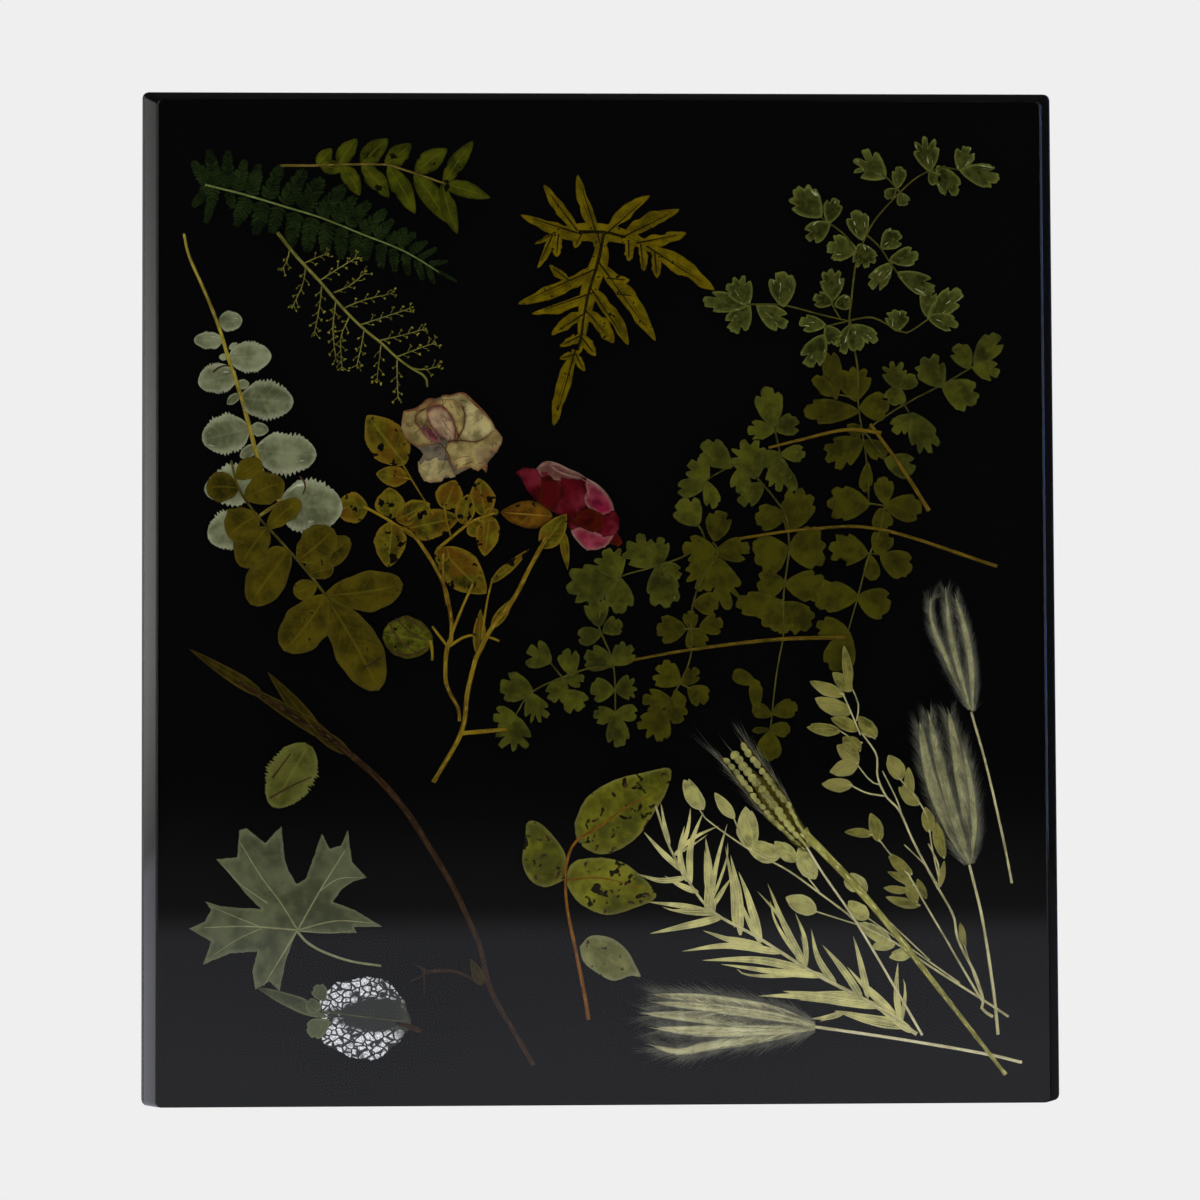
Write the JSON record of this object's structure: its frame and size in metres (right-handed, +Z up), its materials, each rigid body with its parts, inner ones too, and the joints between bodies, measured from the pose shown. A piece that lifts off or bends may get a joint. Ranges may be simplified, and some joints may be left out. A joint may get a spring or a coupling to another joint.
{
  "type": "pressed flower resin panel",
  "caption": "Upright rectangular slab of clear resin over a black backing, with dried pressed flowers, leaves and grasses sealed in layers inside.",
  "frame": {"origin": "middle of the flat bottom edge, halfway through the slab", "axes": "+Z up, +X to the right of someone who looks at the face, +Y from the face to the black back"},
  "size_m": [0.4122, 0.03, 0.4566],
  "materials": {
    "clear_resin": "cast clear resin, polished and see-through",
    "black_resin": "cast black resin, smooth",
    "fern_green": "dried leaf, dark green, matt",
    "leaf_green": "dried leaf, yellow green, matt",
    "silver_green": "dried leaf, pale grey green, matt",
    "olive": "dried leaf and stem, olive brown, matt",
    "ochre": "dried leaf and stem, golden ochre, matt",
    "cream_petal": "dried petal, cream with a pink blush",
    "crimson_petal": "dried petal, crimson and pink",
    "straw": "dry grass, pale straw",
    "bark_brown": "dried woody stem, brown",
    "white_web": "dried leaf, dark net of veins with white cells"
  },
  "bodies": {
    "root": {"clear_front_half": "clear_resin", "clear_rear_half": "clear_resin", "black_backing": "black_resin", "fern_frond": "fern_green", "leafy_sprig": "leaf_green", "seed_panicle": "leaf_green", "burnet_leaf": "silver_green", "olive_leaf_sprig": "olive", "golden_fern": "ochre", "cream_rose_bloom": "cream_petal", "cream_rose_stem": "ochre", "rose_spray_left": "olive", "rose_spray_right": "olive", "folded_rose_leaf": "olive", "rolled_rose_leaf": "olive", "red_rose_bloom": "crimson_petal", "red_rose_stem": "olive", "red_rose_leaf": "olive", "lobed_spray_top": "leaf_green", "lobed_spray_arms": "leaf_green", "lobed_spray_middle": "leaf_green", "lobed_spray_right": "leaf_green", "lobed_spray_left": "leaf_green", "lobed_spray_centre": "leaf_green", "lobed_spray_low_right": "leaf_green", "lobed_spray_west": "leaf_green", "lobed_spray_south_west": "leaf_green", "lobed_spray_south": "leaf_green", "straw_stem_1": "ochre", "straw_stem_2": "ochre", "straw_stem_3": "ochre", "straw_stem_4": "ochre", "bud_stem": "bark_brown", "serrated_leaflet": "leaf_green", "maple_leaf": "silver_green", "silvered_leaf": "white_web", "three_leaf_sprig": "leaf_green", "fallen_leaf": "leaf_green", "barley_ear": "straw", "thin_grass_stem": "straw", "flat_grass_left": "straw", "flat_grass_right": "straw", "straw_spray": "straw", "foxtail_top": "straw", "foxtail_right": "straw", "foxtail_low": "straw"}
  },
  "joints": []
}
